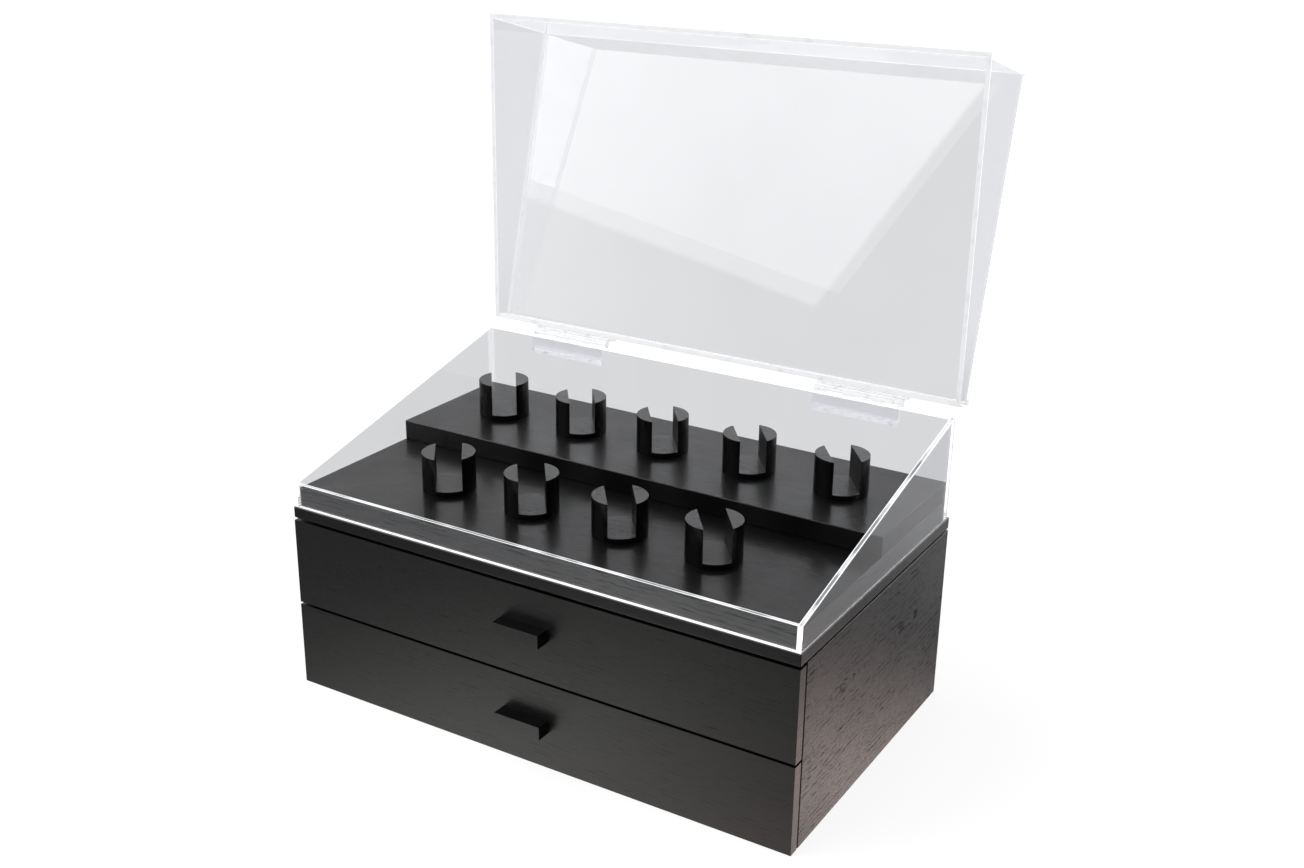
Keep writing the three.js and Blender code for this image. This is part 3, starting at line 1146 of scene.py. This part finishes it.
@dataclass
class SheetWall:
    """One wall of clear sheet, with the axis that runs through its thickness."""

    mesh: Mesh
    thin_axis: int
    strip: float = 0.0010
    foot: float = 0.0011
    rim_facing: float = 0.2

    def paint(self, face: Material, edge: Material) -> Mesh:
        """Gives the wall's broad faces and its edges their finishes.

        Args:
            face: The material of the broad faces.
            edge: The material of the edges.

        Returns:
            The wall's mesh.
        """
        for material in (face, edge):
            self.mesh.materials.append(material)
        for polygon in self.mesh.polygons:
            polygon.material_index = int(abs(polygon.normal[self.thin_axis]) < SQUARE_ON)
        return self.mesh

    def part_edges(self, core: Material, end: Material, split: bool) -> Mesh:
        """Paints the edges' glow: the foot and the edges' corners bright, their middle dimmer, the
        back soft.

        Args:
            core: The material of an edge's middle.
            end: The material of the edge at the back.
            split: Whether the edges have a middle of their own.

        Returns:
            The wall's mesh.
        """
        for material in (core, end):
            self.mesh.materials.append(material)
        shape = bmesh.new()
        shape.from_mesh(self.mesh)
        shape.normal_update()
        # The foot: a thin strip along the bottom of the front and back walls, given the painted
        # edge glow.
        level = min(v.co.z for v in shape.verts) + self.foot
        parts = [*shape.verts, *shape.edges, *shape.faces]
        plane = {"plane_co": (0.0, 0.0, level), "plane_no": (0.0, 0.0, 1.0)}
        bmesh.ops.bisect_plane(shape, geom=parts, **plane)
        for face in shape.faces:
            if self.thin_axis == 1 and face.calc_center_median().z < level:
                face.material_index = 1
        edges = [face for face in shape.faces if face.material_index == 1]
        rims = [f for f in edges if f.normal.z > self.rim_facing and f.normal.y < SQUARE_ON]
        rims = rims if split else []
        for face in edges:
            if self.thin_axis == 0 and face.normal.y > SQUARE_ON:
                face.material_index = 3
        bmesh.ops.inset_individual(shape, faces=rims, thickness=self.strip, use_even_offset=True)
        for face in rims:
            face.material_index = 2
        shape.to_mesh(self.mesh)
        shape.free()
        return self.mesh


def weld_walls(name: str, walls: Sequence[Mesh]) -> Piece:
    """Joins walls that touch into one clear body, as the solvent in their joints does.

    Args:
        name: The new piece's name.
        walls: The walls' meshes.

    Returns:
        The new piece.
    """
    piece = new_object(name, walls[0])
    others = [new_object(f"{name}_wall_{index}", mesh) for index, mesh in enumerate(walls[1:])]
    for other in others:
        union = piece.modifiers.new(other.name, "BOOLEAN")
        union.operation, union.solver, union.object = "UNION", "EXACT", other
    bake_modifiers(piece)
    for other in others:
        bpy.data.objects.remove(other)
    return piece


@dataclass
class ClearCase(Assembly):
    """The clear surround on the cabinet: four walls with a sloping rim."""

    arris: float = 0.0003

    def build(self) -> None:
        """Makes the surround as one welded piece."""
        front_low, front_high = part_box("surround_front_wall")
        walls = []
        for place, thin_axis, split in (
            ("left", 0, False),
            ("front", 1, True),
            ("back", 1, False),
            ("right", 0, True),
        ):
            name, (low, high) = f"surround_{place}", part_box(f"surround_{place}_wall")
            slope = (high.z - front_high.z) / (high.y - front_low.y)
            tops = (high.z - slope * (high.y - low.y), high.z)
            if place == "front":
                mesh = block_mesh(name, low, high)
            else:
                mesh = prism_mesh(name, (low.y, high.y), (low.z, low.z), tops, (low.x, high.x))
            wall = SheetWall(mesh, thin_axis)
            wall.paint(self.finishes.sheet, self.finishes.edge)
            walls.append(wall.part_edges(self.finishes.edge_core, self.finishes.lid_edge, split))
        piece = round_arrises(weld_walls("clear_surround", walls), self.arris, steps=2)
        nodes = [f"surround_{place}_wall" for place in ("left", "right", "front", "back")]
        hand_over(piece, Body.CABINET, Slot.CLEAR_SHEET, nodes)


@dataclass
class ClearLid(Assembly):
    """The clear lid: a top panel on four walls, drawn shut and then swung open."""

    half_width: float = 0.299
    sheet: float = 0.005
    front: float = -0.1768
    back: float = 0.1722
    top: float = 0.353
    front_rim: float = 0.2379
    back_rim: float = 0.3254
    arris: float = 0.0003

    def swing(self) -> Matrix:
        """Works out the turn about the hinge's axis from the shut lid to the open one."""
        pin = Matrix.Translation(*(j["pos_m"] for j in frame["joints"] if j["name"] == "lid_hinge"))
        return pin @ Matrix.Rotation(OPEN_ANGLE, 4, "X") @ pin.inverted()

    def build(self) -> None:
        """Makes the lid as one welded piece."""
        half, inner, under = self.half_width, self.half_width - self.sheet, self.top - self.sheet
        front, back, rims = self.front, self.back, (self.front_rim, self.back_rim)
        rise = (rims[1] - rims[0]) / (back - front) * self.sheet
        front_reach, front_rims = (front, front + self.sheet), (rims[0], rims[0] + rise)
        tops, back_low = (under, under), (-inner, back - self.sheet, rims[1])
        finish = (self.finishes.sheet, self.finishes.lid_edge)
        walls = [
            SheetWall(mesh, thin_axis).paint(*finish)
            for thin_axis, mesh in (
                (2, block_mesh("lid_top", (-half, front, under), (half, back, self.top))),
                (0, prism_mesh("lid_left", (front, back), rims, tops, (-half, -inner))),
                (0, prism_mesh("lid_right", (front, back), rims, tops, (inner, half))),
                (1, prism_mesh("lid_front", front_reach, front_rims, tops, (-inner, inner))),
                (1, block_mesh("lid_back", back_low, (inner, back, under))),
            )
        ]
        piece = weld_walls("clear_lid", walls)
        piece.data.transform(self.swing())
        round_arrises(piece, self.arris, steps=2)
        nodes = [f"lid_{place}_wall" for place in ("left", "right", "front", "back")]
        nodes = ["lid_top_panel", *nodes]
        hand_over(piece, Body.LID, Slot.CLEAR_SHEET, nodes)


@dataclass
class Hinges(Assembly):
    """The two clear hinges: a fixed leaf, a moving leaf and a pin each.

    A leaf is drawn below its pin, which runs along X through the origin. The moving leaf is the
    same leaf turned over and swung with the lid.
    """

    length: float = 0.102
    height: float = 0.0225
    thickness: float = 0.0037
    barrel_radius: float = 0.0042
    bore_radius: float = 0.0019
    rim_gap: float = 0.0004
    clearance: float = 0.0003
    bevel: float = 0.0052
    ridge_shift: float = 0.35
    end_share: float = 0.49
    bevel_facing: float = -0.2
    barrel_facing: float = 0.2
    knuckles: int = 3
    sides: int = 40

    def leaf(self, name: str, bench: ShapeBench) -> Piece:
        """Builds and runs the tree that makes a leaf with its knuckles.

        Args:
            name: The leaf's name.
            bench: The empty tree's bench.

        Returns:
            The leaf.
        """
        given = bench.given
        length, height, thick = given["Length"], given["Height"], given["Thickness"]
        radius, clear, half_gap = given["Barrel Radius"], given["Clearance"], given["Rim Gap"] * 0.5
        middle = thick * 0.5 + (thick + clear + radius) * -1.0
        low_middle = (height + half_gap) * -0.5

        # The plate, with its free edge bevelled on the outer side.
        size = bench.point(length, thick, height - half_gap)
        plate = bench.cube(size, **{"Vertices Y": 3})
        plate = bench.pose(plate, bench.point(y=middle, z=low_middle))
        spot = bench.apart(bench.one("GeometryNodeInputPosition"))
        low = spot[2] < low_middle
        across = (spot[1] - middle) / (thick * 0.5)
        rise = bench.math("MAXIMUM", across, 0.0) * (low * given["Bevel"])
        slide = (1.0 - abs(across)) * low * (thick * -self.ridge_shift)
        values = {"Geometry": plate, "Offset": bench.point(y=slide, z=rise)}
        plate = bench.one("GeometryNodeSetPosition", values)

        # The knuckles: barrels with webs to the plate, bored for the pin.
        pitch = length / (given["Knuckles"] * 2.0)
        wide = pitch - clear
        on_side = (0.0, math.pi / 2, 0.0)
        barrel = bench.pose(bench.rod(radius, wide, self.sides), turn=on_side)
        web = bench.cube(bench.point(wide, middle * -1.0, radius - half_gap))
        web = bench.pose(web, bench.point(y=middle * 0.5, z=(radius + half_gap) * -0.5))
        start = bench.point(pitch * 0.5 + length * -0.5)
        row = bench.row(bench.join(barrel, web), given["Knuckles"], start, pitch * 2.0)
        bore = bench.pose(bench.rod(given["Bore Radius"], length * 2.0, self.sides), turn=on_side)
        shape = bench.cut(bench.weld(plate, bench.real(row)), bore)

        # The faces that get the painted edge glow: the ends, the bevel and the barrels' round.
        facing = bench.facing()
        sideways = abs(facing[0]) > SQUARE_ON
        ends = sideways * (abs(spot[0]) > length * self.end_share)
        bevelled = (facing[2] < self.bevel_facing) * low
        round_side = bench.math("SUBTRACT", spot[1] > (radius + clear) * -1.0, sideways, clamp=True)
        mask = bench.math("MAXIMUM", bench.math("MAXIMUM", ends, bevelled), round_side)
        kept = bench.put("GeometryNodeCaptureAttribute", {0: shape}, domain="FACE")
        kept.capture_items.new("FLOAT", "Mask")
        bench.feed(kept.inputs[1], mask)
        shape, mask = (Term(bench, kept.outputs[index]) for index in (0, 1))
        shape = bench.pose(shape, given["Place"], given["Turn"])
        return bench.run(name, shape, given["Face"], mask, given["Edge"])

    def build(self) -> None:
        """Makes the hinges' leaves and pins."""
        names = ("length", "height", "thickness", "barrel_radius", "bore_radius")
        sizes = self.sizes(*names, "rim_gap", "clearance", "bevel", "knuckles")
        swing = Matrix.Rotation(OPEN_ANGLE, 3, "X") @ Matrix.Rotation(math.pi, 3, "Y")
        materials = {"Face": self.finishes.sheet, "Edge": self.finishes.hinge_edge}
        for side in ("left", "right"):
            low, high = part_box(f"hinge_{side}_pin")
            for part, body, turn in (
                ("lower_leaf", Body.CABINET, ORIGIN),
                ("upper_leaf", Body.LID, tuple(swing.to_euler())),
            ):
                node = f"hinge_{side}_{part}"
                values = sizes | materials | {"Turn": turn, "Place": tuple((low + high) / 2)}
                piece = self.leaf(f"{node}_clear", ShapeBench("hinge_leaf", values))
                crease(piece)
                hand_over(piece, body, Slot.CLEAR_SHEET, [node])
            node = f"hinge_{side}_pin"
            pin = round_arrises(clean_copy(node, f"{node}_clear"), self.clearance, steps=2)
            for material in materials.values():
                pin.data.materials.append(material)
            # The pin's ends get the painted edge glow.
            for polygon in pin.data.polygons:
                polygon.material_index = int(abs(polygon.normal.x) > self.barrel_facing)
            crease(pin)
            hand_over(pin, Body.CABINET, Slot.CLEAR_SHEET, [node])


@dataclass
class PhotoCamera:
    """The camera that the photograph was taken with, as fitted to the case's corners and lines."""

    focal_pixels: float = 1536.9428
    image_width: float = 1304.0
    sensor: float = 36.0
    azimuth: float = math.radians(30.9984)
    elevation: float = math.radians(20.763)
    roll: float = math.radians(0.823)
    place: Triple = (0.79912391, -1.26860137, 0.86834113)

    def build(self) -> None:
        """Makes the camera and gives it to the scene."""
        data = bpy.data.cameras.new("photo_camera")
        data.sensor_width = self.sensor
        data.lens = self.focal_pixels * self.sensor / self.image_width
        camera = new_object("photo_camera", data)
        tilt = math.pi / 2 - self.elevation
        turns = zip((self.azimuth, tilt, self.roll), "ZXZ")
        about, lift, spin = (Matrix.Rotation(angle, 4, axis) for angle, axis in turns)
        camera.matrix_world = Matrix.Translation(self.place) @ about @ lift @ spin
        bpy.context.scene.camera = camera


@dataclass(frozen=True)
class Softbox:
    """The lamp panel that the clear lid mirrors, by directions from the case."""

    corner: Triple = (-0.404, -0.897, 0.182)
    along_foot: Triple = (-0.574, -0.794, 0.200)
    up_side: Triple = (-0.325, -0.885, 0.335)
    lights: Span = (1.2, 2.24)
    rise: float = 0.22
    width: float = 0.60
    height: float = 0.55
    blur: float = 0.0025
    fade: float = 0.1

    def light(self, bench: Bench, direction: Term) -> Term:
        """Adds the panel's light to a world's tree.

        Args:
            bench: The bench of the world's tree.
            direction: The direction looked in.

        Returns:
            The light that comes from the panel.
        """
        corner, foot, side = (Vector(v) for v in (self.corner, self.along_foot, self.up_side))
        upward = foot.cross(corner).normalized()
        inward = corner.cross(side).normalized()
        offsets, mask = [], None
        for normal, inner, far in ((upward, side, self.height), (inward, foot, self.width)):
            normal *= math.copysign(1.0, normal.dot(inner))
            offset = bench.vector_math("DOT_PRODUCT", direction, tuple(normal), output="Value")
            edges = bench.span(offset, -self.blur, self.blur, 0.0, 1.0)
            edges = edges * bench.span(offset, far, far + self.fade, 1.0, 0.0)
            mask = edges if mask is None else mask * edges
            offsets.append(offset)
        return mask * bench.span(offsets[0], 0.0, self.rise, *self.lights)


@dataclass(frozen=True)
class GlowSpot:
    """A soft round patch of light on the floor, as reflections see it."""

    centre: Triple
    reach: float
    light: Colour

    def add(self, bench: Bench, place: Term, base: Term) -> Term:
        """Adds the patch to a colour.

        Args:
            bench: The bench of the floor's tree.
            place: The place on the floor.
            base: The colour without the patch.

        Returns:
            The colour with the patch.
        """
        ratio = bench.vector_math("DISTANCE", place, self.centre, output="Value") / self.reach
        fall = bench.math("EXPONENT", ratio * ratio * -1.0)
        patch = bench.one("ShaderNodeVectorMath", {0: self.light, "Scale": fall}, operation="SCALE")
        return bench.vector_math("ADD", base, patch)


@dataclass(frozen=True)
class Lamp:
    """A soft rectangular lamp, which reflections leave to the surroundings."""

    name: str
    place: Triple
    aim: Triple
    size: Span
    watts: float

    def build(self) -> None:
        """Hangs the lamp in the scene."""
        data = bpy.data.lights.new(self.name, "AREA")
        data.shape, data.energy = "RECTANGLE", self.watts
        data.size, data.size_y = self.size
        lamp = new_object(self.name, data)
        turn = (Vector(self.place) - Vector(self.aim)).to_track_quat("Z", "Y").to_matrix()
        lamp.matrix_world = Matrix.Translation(self.place) @ turn.to_4x4()
        lamp.visible_glossy = False


@dataclass
class Studio:
    """The pale floor, the soft surroundings and the lamps."""

    floor_half: float = 25.0
    floor_level: float = -0.0003
    paper: Colour = (0.22, 0.22, 0.22)
    bounce_colour: Colour = (0.80, 0.80, 0.80)
    glow_reach: Span = (0.8, 1.7)
    glow: Span = (0.84, 1.0)
    through_glow: float = 0.78
    mirror_base: float = 0.19
    mirror_far: float = 0.80
    mirror_reach: Span = (0.80, 1.80)
    mirror_behind: Span = (-0.2, 0.6)
    second_mirror: float = 0.15
    low_sky: float = 0.80
    back_sky: float = 0.56
    front_sky: float = 0.28
    side_sky: float = 1.84
    side_edge: Span = (-0.66, -0.42)
    back_edge: Span = (-0.3, 0.5)
    low_edge: Span = (-0.02, 0.12)
    spots: tuple[GlowSpot, ...] = (
        GlowSpot((-0.02, -0.17, 0.0), 0.28, (0.88, 0.875, 0.83)),
        GlowSpot((0.34, -0.04, 0.0), 0.21, (0.78, 0.60, 0.56)),
        GlowSpot((0.52, 0.66, 0.0), 0.30, (0.26, 0.26, 0.265)),
    )
    lamps: tuple[Lamp, ...] = (
        Lamp("key_softbox", (-1.05, -0.80, 1.59), (0.0, 0.0, 0.25), (2.3, 1.9), 19.0),
        Lamp("side_fill", (2.0, 0.4, 1.3), (0.0, 0.0, 0.2), (1.2, 1.2), 12.0),
    )

    def rays(self, bench: Bench) -> tuple[dict[str, Term], Term, Term]:
        """Tells the rays of a tree apart.

        Args:
            bench: The bench of the tree.

        Returns:
            The Light Path's outputs, how much a mirrored ray sees, which falls after its first
            mirroring to keep the black wood deep, and the mask of rays that only crossed sheet.
        """
        path = bench.outputs(bench.put("ShaderNodeLightPath"))
        mirrored = bench.span(path["Glossy Depth"], 1.0, 2.0, 1.0, self.second_mirror)
        turned = path["Glossy Depth"] + path["Diffuse Depth"]
        straight = bench.math("SUBTRACT", path["Is Transmission Ray"], turned, clamp=True)
        return path, mirrored, straight

    def floor(self) -> None:
        """Makes the floor, which looks white and keeps the case's faint shadow.

        Reflections see a pool of light on it round the case, as under a softbox.
        """
        half = self.floor_half
        mesh = bpy.data.meshes.new("studio_floor")
        corners = ((-half, -half), (half, -half), (half, half), (-half, half))
        mesh.from_pydata([(x, y, self.floor_level) for x, y in corners], [], [(0, 1, 2, 3)])
        floor = new_object("studio_floor", mesh)
        bench = FinishBench("studio_floor")
        place = bench.place
        away = bench.vector_math("LENGTH", place, output="Value")
        behind = bench.span(bench.apart(place)[1], *self.mirror_behind, 0.0, 1.0)
        far = bench.span(away, *self.mirror_reach, 0.0, self.mirror_far)
        light = far * behind + self.mirror_base
        for spot in self.spots:
            light = spot.add(bench, place, light)
        path, share, straight = self.rays(bench)
        pool = bench.one("ShaderNodeEmission", {"Color": light, "Strength": share})
        paper = bench.one("ShaderNodeBsdfDiffuse", {"Color": self.paper})
        glow = bench.span(away, *self.glow_reach, *self.glow)
        glow = bench.one("ShaderNodeEmission", {"Strength": glow})
        seen = bench.one("ShaderNodeAddShader", {0: paper, 1: glow})
        through = bench.one("ShaderNodeEmission", {"Strength": self.through_glow})
        shader = bench.one("ShaderNodeBsdfDiffuse", {"Color": self.bounce_colour})
        shader = bench.mix_shader(path["Is Glossy Ray"], shader, pool)
        shader = bench.mix_shader(straight, shader, through)
        shader = bench.mix_shader(path["Is Camera Ray"], shader, seen)
        mesh.materials.append(bench.close(shader))

    def surroundings(self) -> None:
        """Makes the world: white where it is seen straight on, and a soft room in reflections."""
        world = bpy.data.worlds.new("soft_studio")
        bpy.context.scene.world = world
        world.use_nodes = True
        world.node_tree.nodes.clear()
        bench = Bench(world.node_tree)
        direction = bench.one("ShaderNodeTexCoord", output="Generated")
        x, y, z = bench.apart(direction)
        front = bench.span(x, *self.side_edge, self.side_sky, self.front_sky)
        away = bench.span(y, *self.back_edge, front, self.back_sky)
        sky = bench.span(z, *self.low_edge, self.low_sky, away)
        path, share, straight = self.rays(bench)
        sky = (sky + Softbox().light(bench, direction)) * share
        light = bench.choose(straight, sky, self.through_glow)
        strength = bench.choose(path["Is Camera Ray"], light, 1.0)
        background = bench.one("ShaderNodeBackground", {"Color": WHITE, "Strength": strength})
        bench.put("ShaderNodeOutputWorld", {0: background})

    def build(self) -> None:
        """Makes the floor, the world and the lamps."""
        self.floor()
        self.surroundings()
        for lamp in self.lamps:
            lamp.build()


def main() -> None:
    """Builds the case, its surroundings and the camera."""
    logging.basicConfig(level=logging.INFO, format="%(message)s")
    scene = bpy.context.scene
    scene.view_settings.view_transform = "Standard"
    PhotoCamera().build()
    finishes = Finishes()
    Cabinet(finishes).build()
    Drawer(finishes, "lower", Body.LOWER_DRAWER).build()
    Drawer(finishes, "upper", Body.UPPER_DRAWER).build()
    Display(finishes).build()
    ClearCase(finishes).build()
    ClearLid(finishes).build()
    Hinges(finishes).build()
    Studio().build()


if __name__ == "__main__":
    main()
